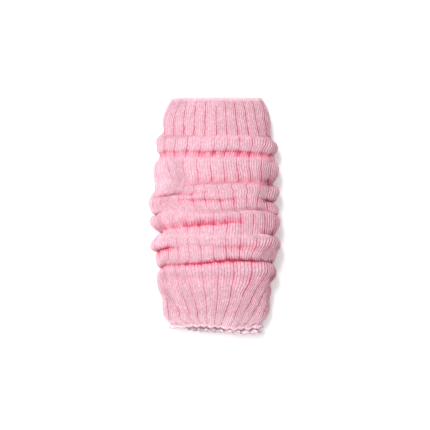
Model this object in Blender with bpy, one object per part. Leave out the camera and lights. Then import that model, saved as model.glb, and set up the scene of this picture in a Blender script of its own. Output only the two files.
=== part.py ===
# Pair of calf socks: two footless rib-knit tubes, one pulled inside the other, pushed down
# into soft rolls and laid flat on their back.
# X runs across the front to the right, Y runs up the leg to the top edge and Z is up.
# The origin is on the surface that the socks lie on, at the middle of their outline.

import math

import bpy
import numpy as np

# Driving sizes, in millimetres. MM turns them into metres.
MM = 0.001
TOP_EDGE = 117.6
PUSHED_LENGTH = 226.6
WALL = 1.8

# The ribs: how high they stand on each sock, where the first one starts past the left fold
# as a share of a rib, how far they scallop a hem, and over how long a stretch they do.
RIB_COUNT = 22
RIB_PHASE = 0.467
OUTER_RELIEF = 1.1
INNER_RELIEF = 0.8
HEM_SCALLOP = 1.7
HEM_ZONE = 9.0
# They fade out where the wall turns away from the front: the upward part of its outward
# direction at which they begin, and the further part at which they have their full height.
OUTER_FADE = (-0.75, -0.25)
INNER_FADE = (0.3, 0.8)

# The flattened tube: how much of its thickness is the crown of its front, and what share of
# the way round its underside takes to go from a fold to flat.
CROWN_SHARE = 0.07
FOLD_SHARE = 0.036
# The surface below holds the underside's creases to this depth, and presses flat what lies
# within this height of it.
UNDERSIDE_DEPTH = 1.5
PRESSED_HEIGHT = 0.45
LEAST_DEPTH = 0.1

# How far the inner sock's two ends lie below those of the outer sock: its top edge evenly, and
# its hem at eight stations round the tube.
INNER_TOP_DROP = 3.5
INNER_HEM_DROP = (5.6, 4.6, 5.4, 7.0, 6.6, 5.8, 5.8, 5.8)

# Columns of one rib: their place as a share of its width, the height of the rib there, and
# whether the plain inside of the wall has that column too. The first is the groove.
RIB_COLUMNS = {
    "side": ((0.0, 0.0, True), (0.24, 0.9, False), (0.5, 1.0, True), (0.76, 0.9, False)),
    "front": ((0.0, 0.0, True), (0.27, 1.0, False), (0.73, 1.0, False)),
    "underside": ((0.0, 0.0, True),),
}
# The ribs that go round the left fold and the right fold, and those of the front.
SIDE_RIBS = (20, 21, 0, 9, 10, 11)
FRONT_RIBS = range(1, 9)

# Crest outline of each sock: how far down from the top edge, how far the crests reach left
# and right of the middle, how thick the flattened tube is, how far its ribs are turned round
# it, and how high its underside lies. The turn is whole at the right fold, half at the
# middle of the front and back, and none at the left fold.
SECTION_NAMES = ("down", "left", "right", "thick", "turn", "lift")
OUTER_SECTIONS = (
    (0.0, 41.7, 46.5, 12.6, -1.7, 0.0),
    (9.0, 47.7, 52.2, 13.4, -1.0, 0.0),
    (21.0, 52.4, 55.8, 14.4, 0.0, 0.0),
    (35.0, 53.9, 57.1, 15.4, 0.0, 0.0),
    (40.5, 58.1, 58.7, 18.6, -1.0, 0.0),
    (48.0, 58.6, 63.5, 20.0, -2.0, 0.0),
    (57.0, 59.5, 61.9, 21.0, -3.0, 0.0),
    (73.0, 61.6, 64.8, 22.0, -4.5, 0.0),
    (85.0, 60.5, 62.1, 22.5, -5.5, 0.0),
    (93.0, 61.0, 65.3, 22.5, -6.0, 0.0),
    (97.5, 64.1, 63.5, 22.5, -6.0, 0.0),
    (103.0, 66.7, 62.1, 22.5, -6.0, 0.0),
    (112.0, 64.2, 64.7, 22.5, -5.5, 0.0),
    (123.0, 65.8, 66.0, 22.5, -5.0, 0.0),
    (136.0, 58.5, 63.6, 22.5, -4.0, 0.0),
    (147.0, 65.1, 66.1, 22.5, -3.0, 0.0),
    (156.0, 60.7, 62.2, 22.5, -2.0, 0.0),
    (164.0, 58.6, 60.1, 22.0, 0.0, 0.0),
    (172.0, 57.7, 62.8, 21.0, 1.0, 0.0),
    (181.0, 58.9, 61.6, 18.5, 2.0, 0.0),
    (189.0, 57.2, 58.3, 17.0, 2.5, 0.0),
    (199.0, 53.2, 55.7, 15.0, 2.0, 0.0),
    (211.0, 52.8, 55.3, 13.6, 1.0, 0.0),
    (218.0, 50.6, 52.5, 12.8, 0.0, 0.0),
    (224.5, 44.1, 46.5, 12.6, -1.5, 0.0),
    (229.0, 46.4, 49.6, 12.6, -2.0, 0.0),
)
INNER_SECTIONS = (
    (0.0, 38.4, 43.0, 6.0, 0.0, 2.2),
    (12.0, 44.0, 48.0, 6.2, 0.0, 2.2),
    (30.0, 45.8, 49.4, 5.8, 0.0, 3.7),
    (50.0, 45.6, 48.8, 5.8, 0.0, 3.8),
    (85.0, 45.4, 44.6, 5.8, -1.0, 3.8),
    (110.0, 44.6, 46.0, 5.8, -1.0, 3.8),
    (135.0, 43.0, 46.4, 5.8, -1.0, 3.8),
    (165.0, 45.0, 45.4, 5.8, 0.0, 3.8),
    (193.0, 46.8, 46.6, 5.8, 0.0, 3.8),
    (205.0, 46.4, 49.6, 6.2, 0.0, 2.2),
    (215.0, 44.0, 47.0, 6.0, 0.0, 2.2),
    (222.0, 38.4, 41.8, 5.8, 0.0, 2.2),
    (230.0, 37.8, 41.2, 5.8, 0.0, 2.2),
    (233.5, 45.0, 46.6, 7.6, 0.0, 2.2),
)

# Where the grooves of the front lie, from the first to the twelfth: how far down from the top
# edge, then right of the middle. They lean and crowd together in the folds, and that dies away
# over the ribs at the two ends of the row.
GROOVE_LINES = (
    (3.5, -42.0, -34.6, -27.9, -18.3, -8.8, 1.2, 10.2, 19.2, 28.2, 37.7, 47.0),
    (38.5, -51.0, -41.2, -31.2, -21.2, -10.1, 1.8, 12.0, 22.9, 33.9, 44.0, 52.8),
    (41.5, -57.0, -49.4, -38.0, -26.2, -13.0, 0.1, 13.1, 25.2, 37.6, 52.2, 62.0),
    (60.0, -57.0, -48.2, -40.2, -29.2, -16.3, -2.2, 9.3, 22.2, 34.0, 45.6, 54.4),
    (63.5, -58.0, -47.0, -38.4, -31.4, -17.8, -4.7, 8.3, 21.3, 33.8, 46.8, 57.6),
    (84.0, -56.0, -41.0, -34.4, -28.2, -16.2, -2.8, 10.2, 24.2, 35.8, 46.2, 53.2),
    (89.0, -57.0, -44.0, -37.0, -30.0, -21.0, -10.6, 1.4, 15.8, 30.8, 44.6, 52.8),
    (104.0, -62.0, -53.8, -46.8, -36.2, -21.0, -8.8, 5.8, 19.6, 32.2, 42.6, 52.2),
    (112.0, -60.0, -52.0, -41.8, -29.8, -19.0, -6.4, 7.2, 19.8, 31.8, 42.6, 52.4),
    (117.5, -60.0, -53.4, -42.0, -29.6, -14.8, -0.8, 12.8, 25.6, 38.2, 49.6, 61.0),
    (126.0, -60.0, -53.2, -41.4, -28.2, -13.8, -0.8, 13.2, 26.2, 38.6, 50.0, 61.2),
    (142.0, -58.0, -47.0, -37.4, -27.0, -16.8, -2.6, 11.0, 25.6, 42.0, 58.0, 65.0),
    (186.0, -54.8, -47.4, -36.0, -24.8, -10.8, 3.2, 17.6, 34.2, 45.0, 54.2, 57.0),
    (204.0, -47.6, -40.2, -28.8, -19.4, -8.4, 2.2, 14.2, 25.4, 35.2, 44.6, 53.6),
    (222.0, -42.2, -31.4, -23.0, -15.6, -8.0, 0.2, 7.4, 17.6, 25.2, 33.0, 42.6),
    (229.0, -36.8, -29.0, -22.0, -15.0, -7.8, -0.2, 6.8, 16.6, 24.2, 31.2, 38.2),
)
GROOVE_FADE = 3

# Creases between the rolls. Each is followed once round the tube, through eight or sixteen
# even stations from the left fold: the first half is the front and the second the back.
# "reach" is how far its slopes run above and below its bottom, "down" is its place below the
# top edge and "depth" how far it sinks below the crests. A lean above 0 pushes the roll below
# the crease up over it, and one below 0 pushes the roll above it down over it, as a share of
# the depth.
CREASES = {
    "cuff": {
        "shape": "even",
        "reach": (6.0, 4.8),
        "lean": 0.60,
        "down": (38.5, 39.2, 41.2, 42.4, 41.6, 42.0, 44.0, 40.0),
        "depth": (0.5, 2.2, 2.6, 2.6, 2.0, 1.5, 1.5, 1.5),
    },
    "first roll": {
        "shape": "tucked",
        "reach": (9.0, 4.2),
        "lean": 0.40,
        "down": (60.6, 60.8, 61.0, 61.2, 62.4, 60.0, 63.0, 62.0),
        "depth": (4.0, 3.6, 4.6, 4.6, 2.3, 1.5, 1.5, 1.5),
    },
    "second roll": {
        "shape": "tucked",
        "reach": (6.5, 4.4),
        "lean": 0.45,
        "down": (
            89.8, 89.0, 88.2, 87.0, 86.0, 85.6, 85.6, 85.6,
            86.0, 87.0, 87.0, 88.0, 89.0, 89.5, 89.5, 89.5,
        ),
        "depth": (
            0.1, 0.1, 0.4, 1.8, 3.2, 3.6, 3.6, 4.0,
            5.2, 1.5, 1.5, 1.5, 1.5, 1.2, 0.8, 0.3,
        ),
    },
    "third roll": {
        "shape": "hung",
        "reach": (4.4, 4.6),
        "lean": -0.10,
        "down": (
            100.9, 98.6, 97.4, 99.4, 102.0, 102.3, 101.6, 101.0,
            102.6, 104.0, 104.0, 105.0, 105.0, 104.0, 104.0, 103.0,
        ),
        "depth": (
            0.1, 2.4, 3.0, 3.0, 3.2, 2.4, 0.7, 0.8,
            4.2, 1.5, 1.5, 1.5, 1.5, 1.5, 1.2, 0.8,
        ),
    },
    "third roll foot": {
        "shape": "tucked",
        "reach": (6.0, 3.6),
        "lean": 0.35,
        "down": (
            116.7, 116.6, 116.0, 115.6, 115.0, 114.2, 113.8, 113.2,
            117.0, 119.6, 119.0, 120.0, 120.0, 119.0, 118.0, 117.0,
        ),
        "depth": (
            4.4, 1.4, 0.4, 1.0, 2.0, 2.0, 2.4, 2.8,
            3.6, 1.5, 1.5, 1.5, 1.5, 1.5, 1.5, 1.5,
        ),
    },
    "fourth roll": {
        "shape": "tucked",
        "reach": (6.4, 3.6),
        "lean": 0.15,
        "down": (
            135.4, 131.6, 129.4, 128.0, 126.8, 126.0, 127.0, 131.0,
            137.5, 137.0, 136.0, 136.0, 136.0, 136.0, 135.0, 135.0,
        ),
        "depth": (
            5.4, 4.6, 4.2, 4.2, 3.8, 2.8, 1.2, 1.8,
            4.2, 1.5, 1.5, 1.5, 1.5, 1.5, 1.5, 1.5,
        ),
    },
    "flap": {
        "shape": "hung",
        "reach": (6.0, 6.0),
        "lean": -0.40,
        "down": (
            153.2, 150.2, 148.4, 148.0, 148.8, 149.4, 150.0, 150.0,
            149.6, 151.0, 152.0, 152.0, 152.5, 152.5, 152.5, 152.5,
        ),
        "depth": (
            4.3, 3.6, 0.9, 0.7, 0.9, 1.6, 1.2, 0.4,
            0.1, 0.4, 0.6, 1.2, 1.5, 1.5, 1.5, 1.5,
        ),
    },
    "fifth roll": {
        "shape": "hung",
        "reach": (5.0, 5.5),
        "lean": -0.10,
        "down": (
            168.5, 168.0, 167.4, 166.4, 164.6, 163.4, 163.2, 163.8,
            164.9, 166.0, 167.0, 168.0, 168.5, 168.0, 168.0, 168.0,
        ),
        "depth": (
            3.2, 3.2, 3.4, 4.0, 4.8, 4.8, 4.6, 4.8,
            4.8, 1.5, 1.5, 1.5, 1.5, 1.5, 1.5, 1.5,
        ),
    },
    "sixth roll": {
        "shape": "even",
        "reach": (7.0, 7.0),
        "lean": 0.00,
        "down": (
            181.0, 180.0, 179.5, 179.5, 179.5, 180.0, 181.0, 182.4,
            184.4, 185.0, 185.0, 185.0, 185.0, 185.0, 184.0, 183.0,
        ),
        "depth": (
            0.3, 0.6, 0.7, 0.7, 0.7, 0.7, 0.9, 2.2,
            3.6, 1.5, 1.5, 1.5, 1.4, 1.2, 0.8, 0.4,
        ),
    },
}

# A crease in section. Each row is a step along the leg, as a share of the crease's reach above
# or below its bottom, a height as a share of its depth, and how strongly the ribs are squeezed.
# Tucked: the roll above turns under and the roll below ends in a sharp edge. Even: a soft
# valley. Hung: the roll above hangs over the crease.
CREASE_SHAPES = {
    "tucked": (
        (-1.0, -0.12, 0.0),
        (-0.78, -0.6, 0.2),
        (-0.45, -0.9, 0.3),
        (-0.1, -1.12, 0.7),
        (0.3, -1.1, 1.0),
        (0.65, -0.6, 0.5),
        (1.0, 0.04, 0.0),
    ),
    "even": (
        (-1.0, -0.15, 0.0),
        (-0.65, -0.55, 0.3),
        (-0.25, -1.05, 0.8),
        (0.0, -1.15, 1.0),
        (0.25, -1.05, 0.8),
        (0.65, -0.55, 0.3),
        (1.0, -0.05, 0.0),
    ),
    "hung": (
        (-1.0, 0.02, 0.0),
        (-0.6, -0.05, 0.0),
        (-0.34, -0.5, 0.3),
        (-0.04, -1.12, 1.0),
        (0.3, -1.12, 0.9),
        (0.65, -0.62, 0.4),
        (1.0, -0.12, 0.1),
    ),
}
BOTTOM_ROW = 3
# A deep crease squeezes the ribs nearly flat at its bottom.
SQUEEZE = 0.9
SQUEEZE_DEPTH = 4.0

# Rows above the first crease and below the last one: how far down, and their height.
OUTER_HEAD = ((0.0, 0.0), (12.0, 0.0), (24.0, 0.0))
OUTER_TAIL = ((201.0, 0.0), (213.0, 0.0), (222.5, -0.1), (PUSHED_LENGTH, 0.3))
# How much further the hem reaches at the eight stations.
OUTER_HEM_DROP = (1.5, 0.0, 0.6, 3.2, 2.0, 0.6, 0.0, 0.6)
# The inner sock's rows, and the waves of its front under the rolls.
INNER_ROWS = 24
INNER_WAVES = 9
INNER_WAVE = 0.3

# Knit colour of each sock, as linear red, green and blue.
KNIT_COLOURS = {"outer_sock": (0.86, 0.42, 0.52), "inner_sock": (0.82, 0.38, 0.48)}
KNIT_ROUGHNESS = 0.92
SHARP_ANGLE = 60.0


def smooth_curve(places, values, at):
    """Cubic curve through unevenly spaced values. It keeps the end values past both ends."""
    places = np.asarray(places, float)
    values = np.asarray(values, float)
    slopes = np.gradient(values, places)
    at = np.clip(at, places[0], places[-1])
    left = np.clip(np.searchsorted(places, at, side="right") - 1, 0, len(places) - 2)
    width = places[left + 1] - places[left]
    t = (at - places[left]) / width
    start = values[left] * (2 * t**3 - 3 * t**2 + 1) + slopes[left] * width * (t**3 - 2 * t**2 + t)
    end = values[left + 1] * (3 * t**2 - 2 * t**3) + slopes[left + 1] * width * (t**3 - t**2)
    return start + end


def round_the_tube(stations, share):
    """Periodic cubic curve through values at evenly spaced stations round the tube."""
    stations = np.asarray(stations, float)
    count = len(stations)
    place = np.mod(share, 1.0) * count
    near = np.floor(place).astype(int)
    t = place - near
    before, here, after, later = (stations[(near + step) % count] for step in (-1, 0, 1, 2))
    slope_here = (after - before) / 2
    slope_after = (later - here) / 2
    return (
        here * (2 * t**3 - 3 * t**2 + 1)
        + slope_here * (t**3 - 2 * t**2 + t)
        + after * (3 * t**2 - 2 * t**3)
        + slope_after * (t**3 - t**2)
    )


def rounded_rows(rows):
    """Cubic B-spline through the rows, which rounds every fold."""
    padded = np.concatenate([2 * rows[:1] - rows[1:2], rows, 2 * rows[-1:] - rows[-2:-1]])
    return (padded[:-2] + 4 * padded[1:-1] + padded[2:]) / 6


def section_table(table, down):
    """Left reach, right reach, thickness, turn and lift of the tube at each place."""
    columns = dict(zip(SECTION_NAMES, zip(*table)))
    return [smooth_curve(columns["down"], columns[name], down) for name in SECTION_NAMES[1:]]


def groove_turn(table, place, down):
    """How far the ribs are moved round the tube, so that the grooves follow their lines."""
    heights, *lines = zip(*GROOVE_LINES)
    left, right, thick, turn, _ = section_table(table, np.array(heights))
    radius = thick * (1 - CROWN_SHARE) / 2
    flat = left + right - 2 * radius
    quarter = math.pi * radius / 2
    length = 2 * flat + 4 * quarter
    moved = np.zeros((len(heights), RIB_COUNT))
    for groove, line in enumerate(lines):
        x = np.array(line)
        on_left = np.arccos(np.clip((radius - left - x) / radius, -1, 1)) * radius
        on_front = quarter + x + left - radius
        on_right = quarter + flat + np.arcsin(np.clip((x - right + radius) / radius, -1, 1)) * radius
        travel = np.where(x < radius - left, on_left, np.where(x > right - radius, on_right, on_front))
        share = (groove + RIB_PHASE) / RIB_COUNT
        moved[:, groove] = travel - share * length - turn * np.sin(math.pi * share) ** 2
    for step in range(1, GROOVE_FADE):
        rest = 1 - step / GROOVE_FADE
        moved[:, len(lines) - 1 + step] = moved[:, len(lines) - 1] * rest
        moved[:, -step] = moved[:, 0] * rest
    each = np.stack([np.interp(down, heights, column) for column in moved.T], axis=-1)
    near = np.floor(place).astype(int)
    row = np.arange(down.shape[0])[:, None]
    column = np.arange(down.shape[1])[None, :]
    here = each[row, column, near % RIB_COUNT]
    after = each[row, column, (near + 1) % RIB_COUNT]
    return here + (after - here) * (place - near)


def around_section(table, down, share, moved=0.0):
    """Point and outward direction at a share of the way round the flattened tube.

    The section is two half circles joined by a flat underside and a slightly crowned front.
    It starts at the left fold and goes over the front.
    """
    left, right, thick, turn, lift = section_table(table, down)
    crown = thick * CROWN_SHARE
    radius = (thick - crown) / 2
    flat = left + right - 2 * radius
    quarter = math.pi * radius / 2
    length = 2 * flat + 4 * quarter
    turned = turn * np.sin(math.pi * share) ** 2
    travel = np.mod(share * length + turned + moved, length)
    corner_left = -left + radius
    corner_right = right - radius

    on_front = (travel >= quarter) & (travel < quarter + flat)
    on_right = (travel >= quarter + flat) & (travel < 3 * quarter + flat)
    on_back = (travel >= 3 * quarter + flat) & (travel < 3 * quarter + 2 * flat)
    front_run = travel - quarter
    back_run = travel - 3 * quarter - flat
    right_angle = (travel - quarter - flat) / radius
    left_angle = np.where(travel < quarter, travel, travel - length) / radius

    x = np.select(
        [on_front, on_right, on_back],
        [corner_left + front_run, corner_right + radius * np.sin(right_angle), corner_right - back_run],
        corner_left - radius * np.cos(left_angle),
    )
    z = np.select(
        [on_front, on_right, on_back],
        [
            2 * radius + crown * np.sin(math.pi * np.clip(front_run / flat, 0, 1)),
            radius + radius * np.cos(right_angle),
            np.zeros_like(travel),
        ],
        radius + radius * np.sin(left_angle),
    )
    out_x = np.select([on_front, on_right, on_back], [0.0, np.sin(right_angle), 0.0], -np.cos(left_angle))
    out_z = np.select([on_front, on_right, on_back], [1.0, np.cos(right_angle), -1.0], np.sin(left_angle))
    return x, lift + z, out_x, out_z


def rib_columns():
    """Share round the tube, rib height and use inside of every column, from the left fold."""
    columns = []
    for rib in range(RIB_COUNT):
        zone = "side" if rib in SIDE_RIBS else "front" if rib in FRONT_RIBS else "underside"
        for step, height, inside in RIB_COLUMNS[zone]:
            columns.append(((rib + RIB_PHASE + step) / RIB_COUNT, height, inside))
    share, height, inside = zip(*columns)
    return np.array(share), np.array(height), np.flatnonzero(inside)


def underside(share):
    """1 on the back where it is pressed flat, 0 on the front and folds, smooth between."""
    place = np.mod(share, 1.0)
    inward = np.clip((np.minimum(place - 0.5, 1.0 - place) - FOLD_SHARE) / FOLD_SHARE, 0, 1)
    return inward**2 * (3 - 2 * inward)


def fold_rows(share):
    """Place down the leg, height and squeeze of the outer sock's rows, crease by crease."""
    head = [(place, value, 0.0) for place, value in OUTER_HEAD]
    tail = [(place, value, 0.0) for place, value in OUTER_TAIL]
    folds = []
    for crease in CREASES.values():
        above, below = crease["reach"]
        centre = round_the_tube(crease["down"], share)
        depth = np.maximum(round_the_tube(crease["depth"], share), LEAST_DEPTH)
        depth = depth + (np.minimum(depth, UNDERSIDE_DEPTH) - depth) * underside(share)
        squeeze = SQUEEZE * np.clip(depth / SQUEEZE_DEPTH, 0, 1)
        for row, (step, part, squeezed) in enumerate(CREASE_SHAPES[crease["shape"]]):
            below_leans = crease["lean"] > 0 and row > BOTTOM_ROW
            above_leans = crease["lean"] < 0 and row < BOTTOM_ROW
            lean = crease["lean"] if below_leans or above_leans else 0.0
            reach = above if step < 0 else below
            down = centre + step * reach - lean * depth * (1 + part)
            folds.append((down, part * depth, squeezed * squeeze))
    rows = [[np.broadcast_to(value, share.shape) for value in row] for row in head + folds + tail]
    down, height, squeeze = (rounded_rows(np.array(column)) for column in zip(*rows))
    return down, height, np.clip(squeeze, 0, SQUEEZE)


def surface_normals(points):
    """Outward directions of a grid whose rows run down the leg and columns round it."""
    along = np.gradient(points, axis=0)
    across = np.roll(points, -1, axis=1) - np.roll(points, 1, axis=1)
    normals = np.cross(along, across)
    normals[[0, -1], :, 1] = 0.0
    return normals / np.linalg.norm(normals, axis=2, keepdims=True)


def place_on_section(table, down, height, share, moved=0.0):
    """Grid of points at a height off the crest outline."""
    x, z, out_x, out_z = around_section(table, down, share, moved)
    return np.stack([x + out_x * height, TOP_EDGE - down, z + out_z * height], axis=2)


def press_flat(points, floor):
    """Sets what lies just above or below a floor level on it."""
    pressed = points.copy()
    pressed[..., 2] = np.where(points[..., 2] < floor + PRESSED_HEIGHT, floor, points[..., 2])
    return pressed


def fade_in(facing, limits):
    """0 below the first limit, 1 above the second and straight between them."""
    begin, full = limits
    return np.clip((facing - begin) / (full - begin), 0, 1)


def wall_about(middle, rib_rise):
    """Outer points, raised into ribs, and plain inner points on each side of a middle surface."""
    normals = surface_normals(middle)
    outer = middle + normals * (WALL / 2 + rib_rise)[..., None]
    inner = middle - normals * (WALL / 2)
    return outer, inner


def outer_wall(share, rib_height):
    """Outer and inner points of the outer sock's wall."""
    down, height, squeeze = fold_rows(share)
    moved = groove_turn(OUTER_SECTIONS, share * RIB_COUNT - RIB_PHASE, down)
    share = np.broadcast_to(share, down.shape)
    _, _, _, facing = around_section(OUTER_SECTIONS, down, share, moved)
    relief = OUTER_RELIEF * fade_in(facing, OUTER_FADE)
    middle = place_on_section(OUTER_SECTIONS, down, height - relief - WALL / 2, share, moved)
    at_hem = np.clip((down - PUSHED_LENGTH) / HEM_ZONE + 1, 0, 1)
    middle[..., 1] -= at_hem * (HEM_SCALLOP * rib_height + round_the_tube(OUTER_HEM_DROP, share))
    outer, inner = wall_about(middle, relief * rib_height * (1 - squeeze))
    return press_flat(outer, 0.0), press_flat(inner, WALL)


def inner_wall(share, rib_height):
    """Outer and inner points of the inner sock's wall, which waves under the rolls."""
    length = PUSHED_LENGTH + round_the_tube(INNER_HEM_DROP, share) - INNER_TOP_DROP
    run = np.broadcast_to(np.linspace(0.0, 1.0, INNER_ROWS)[:, None], (INNER_ROWS, len(share)))
    down = INNER_TOP_DROP + run * length
    share = np.broadcast_to(share, down.shape)
    _, _, _, facing = around_section(INNER_SECTIONS, down, share)
    on_front = fade_in(facing, INNER_FADE)
    wave = INNER_WAVE * np.sin(2 * math.pi * INNER_WAVES * run) * np.sin(math.pi * run) * on_front
    relief = INNER_RELIEF * on_front
    middle = place_on_section(INNER_SECTIONS, down, wave - relief - WALL / 2, share)
    at_hem = np.clip((run - 1) * length / HEM_ZONE + 1, 0, 1)
    middle[..., 1] -= at_hem * HEM_SCALLOP * rib_height
    return wall_about(middle, relief * rib_height)


def grid_faces(index, inward):
    """Triangles of a grid that closes round its columns."""
    faces = []
    for upper, lower in zip(index[:-1], index[1:]):
        for a, b, c, d in zip(upper, np.roll(upper, -1), np.roll(lower, -1), lower):
            faces += [(a, b, c), (a, c, d)] if inward else [(a, c, b), (a, d, c)]
    return faces


def rim_faces(outer_ring, inner_ring, kept, flip):
    """Triangles that close the wall at an edge, where only some outer columns go inside."""
    faces = []
    stops = [*kept[1:], kept[0] + len(outer_ring)]
    for column, (start, stop) in enumerate(zip(kept, stops)):
        here = inner_ring[column]
        after = inner_ring[(column + 1) % len(inner_ring)]
        span = [outer_ring[k % len(outer_ring)] for k in range(start, stop + 1)]
        half = len(span) // 2
        faces.append((here, span[half], after))
        for k in range(len(span) - 1):
            faces.append((span[k], span[k + 1], here if k < half else after))
    return [(a, c, b) for a, b, c in faces] if flip else faces


def knit_material(name):
    """Plain matte knit finish in the colour of a sock."""
    material = bpy.data.materials.new(name + "_knit")
    material.use_nodes = True
    surface = material.node_tree.nodes["Principled BSDF"]
    surface.inputs["Base Color"].default_value = (*KNIT_COLOURS[name], 1.0)
    surface.inputs["Roughness"].default_value = KNIT_ROUGHNESS
    surface.inputs["Metallic"].default_value = 0.0
    return material


def make_sock(name, wall_points):
    """One sock as a closed wall: ribs on the outside, a plain surface inside."""
    share, rib_height, kept = rib_columns()
    outer, inner = wall_points(share, rib_height)
    inner = inner[:, kept]
    rows, columns = outer.shape[:2]
    inner_columns = len(kept)
    vertices = np.concatenate([outer.reshape(-1, 3), inner.reshape(-1, 3)]) * MM
    outer_index = np.arange(rows * columns).reshape(rows, columns)
    inner_index = rows * columns + np.arange(rows * inner_columns).reshape(rows, inner_columns)
    faces = grid_faces(outer_index, False)
    faces += grid_faces(inner_index, True)
    faces += rim_faces(outer_index[0], inner_index[0], kept, False)
    faces += rim_faces(outer_index[-1], inner_index[-1], kept, True)

    mesh = bpy.data.meshes.new(name)
    mesh.from_pydata(vertices.tolist(), [], [tuple(int(i) for i in face) for face in faces])
    mesh.update()
    mesh.shade_smooth()
    mesh.set_sharp_from_angle(angle=math.radians(SHARP_ANGLE))
    mesh.materials.append(knit_material(name))
    sock = bpy.data.objects.new(name, mesh)
    bpy.context.scene.collection.objects.link(sock)
    return sock


def clear_scene():
    """Starts from an empty scene."""
    for item in list(bpy.data.objects):
        bpy.data.objects.remove(item, do_unlink=True)


def main():
    clear_scene()
    make_sock("outer_sock", outer_wall)
    make_sock("inner_sock", inner_wall)


main()
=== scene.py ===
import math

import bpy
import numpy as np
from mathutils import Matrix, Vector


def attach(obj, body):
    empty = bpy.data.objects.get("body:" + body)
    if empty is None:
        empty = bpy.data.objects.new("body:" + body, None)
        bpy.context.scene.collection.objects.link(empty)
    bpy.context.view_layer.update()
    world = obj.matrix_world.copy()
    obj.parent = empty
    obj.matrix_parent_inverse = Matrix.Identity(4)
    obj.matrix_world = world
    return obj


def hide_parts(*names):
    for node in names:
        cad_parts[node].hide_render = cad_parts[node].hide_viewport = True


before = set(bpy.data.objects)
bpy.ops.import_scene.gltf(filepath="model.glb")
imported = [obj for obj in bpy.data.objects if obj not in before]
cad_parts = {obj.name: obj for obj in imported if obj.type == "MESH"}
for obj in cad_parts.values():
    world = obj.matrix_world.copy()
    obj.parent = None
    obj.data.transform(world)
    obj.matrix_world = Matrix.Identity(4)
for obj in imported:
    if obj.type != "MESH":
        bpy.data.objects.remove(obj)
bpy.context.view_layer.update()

# Pair of calf socks: two footless rib-knit tubes, one inside the other, pushed down into rolls
# and laid flat. X runs across the front, Y up the leg to the top edge, Z up from the surface.
# Every size below is in millimetres unless its name or its note says otherwise. A place "down"
# is measured from the top edge. Stations lie evenly round the tube from its left fold: the
# first half of them on the front, the second on the back.

millimetre = 0.001
scene = bpy.context.scene
print("frame loaded with", len(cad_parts), "nodes")

# The tube both socks are knitted as, and how the flattened tube lies.
tube = {
    "topEdge": 117.6,          # y of the top edge
    "pushedLength": 226.6,     # from the top edge to the hem, pushed down
    "wall": 1.8,
    "ribs": 22,
    "underRibs": (12, 20),     # ribs on the back, first and one past the last
    "firstRib": 0.467,         # place of the first groove past the left fold, as a share of a rib
    "walesInRib": 5,
    "courseStep": 1.55,        # height of one stitch along the cloth
    "insideColumns": 4,        # mesh columns of a rib on the plain inside
    "insideRowStep": 3,        # every third mesh row has an inside row
    "crown": 0.07,             # share of the thickness that is the crown of the front
    "foldShare": 0.036,        # share of the way round from a fold to the pressed underside
    "undersideDepth": 1.5,     # the surface holds the underside's creases to this
    "pressedHeight": 0.45,     # what lies this near the surface is pressed onto it
    "ribCrown": 0.2,           # share of a rib's height that is its rounded crown
    "waleShape": 0.8,          # below 1 makes a wale's rounded top broader
    "hemScallop": 1.9,         # how far a rib pushes the hem down
    "scallopShape": 0.7,       # below 1 makes the scallops broader
    "scallopChange": (0.35, 3.1),  # how uneven they are, noise steps in a rib
    "hemZone": 9.0,            # height over which the hem's shape dies away
}


def curveThrough(places, values, at):
    # Cubic curve through unevenly spaced values. It keeps the end values past both ends.
    places = np.asarray(places, float)
    values = np.asarray(values, float)
    slopes = np.gradient(values, places)
    at = np.clip(at, places[0], places[-1])
    left = np.clip(np.searchsorted(places, at, side="right") - 1, 0, len(places) - 2)
    width = places[left + 1] - places[left]
    t = (at - places[left]) / width
    start = values[left] * (2 * t**3 - 3 * t**2 + 1) + slopes[left] * width * (t**3 - 2 * t**2 + t)
    end = values[left + 1] * (3 * t**2 - 2 * t**3) + slopes[left + 1] * width * (t**3 - t**2)
    return start + end


def cubicBetween(before, here, after, later, t):
    # Cubic from here to after, with the slopes that their neighbours give.
    return (here * (2 * t**3 - 3 * t**2 + 1) + (after - before) / 2 * (t**3 - 2 * t**2 + t)
            + after * (3 * t**2 - 2 * t**3) + (later - here) / 2 * (t**3 - t**2))


def roundTheTube(stations, share):
    # Periodic cubic curve through values at evenly spaced stations round the tube.
    stations = np.asarray(stations, float)
    count = len(stations)
    place = np.mod(share, 1.0) * count
    near = np.floor(place).astype(int)
    return cubicBetween(*(stations[(near + step) % count] for step in (-1, 0, 1, 2)), place - near)


def splineThrough(rows, at):
    # Cubic B-spline of the rows, read at a list of row numbers that may fall between rows.
    padded = np.concatenate([2 * rows[:1] - rows[1:2], rows, 2 * rows[-1:] - rows[-2:-1]])
    padded = np.concatenate([padded, padded[-1:]])
    near = np.clip(np.floor(at).astype(int), 0, len(rows) - 1)
    t = (at - near)[:, None]
    a, b, c, d = (padded[near + step] for step in range(4))
    return ((1 - t)**3 * a + (3 * t**3 - 6 * t**2 + 4) * b
            + (-3 * t**3 + 3 * t**2 + 3 * t + 1) * c + t**3 * d) / 6


def smoothStep(value, begin, end):
    # 0 before begin, 1 after end, smooth between.
    t = np.clip((value - begin) / (end - begin), 0, 1)
    return t**2 * (3 - 2 * t)


def ramp(value, amount, begin, end):
    # 0 before begin and the whole amount after end, smooth between.
    return amount * smoothStep(value, begin, end)


def facing(upward, fade):
    # 0 where the outward direction's upward part is below the first value, 1 above the second.
    return np.clip((upward - fade[0]) / (fade[1] - fade[0]), 0, 1)


def softNoise(across, along, seed):
    # Smooth noise between about -1 and 1: a sum of crossed waves with seeded directions.
    waves = np.random.default_rng(seed).uniform(-1, 1, (7, 3))
    total = sum(np.sin(3 * a * across + 3 * b * along + 9 * c) for a, b, c in waves)
    return total / 3


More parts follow.
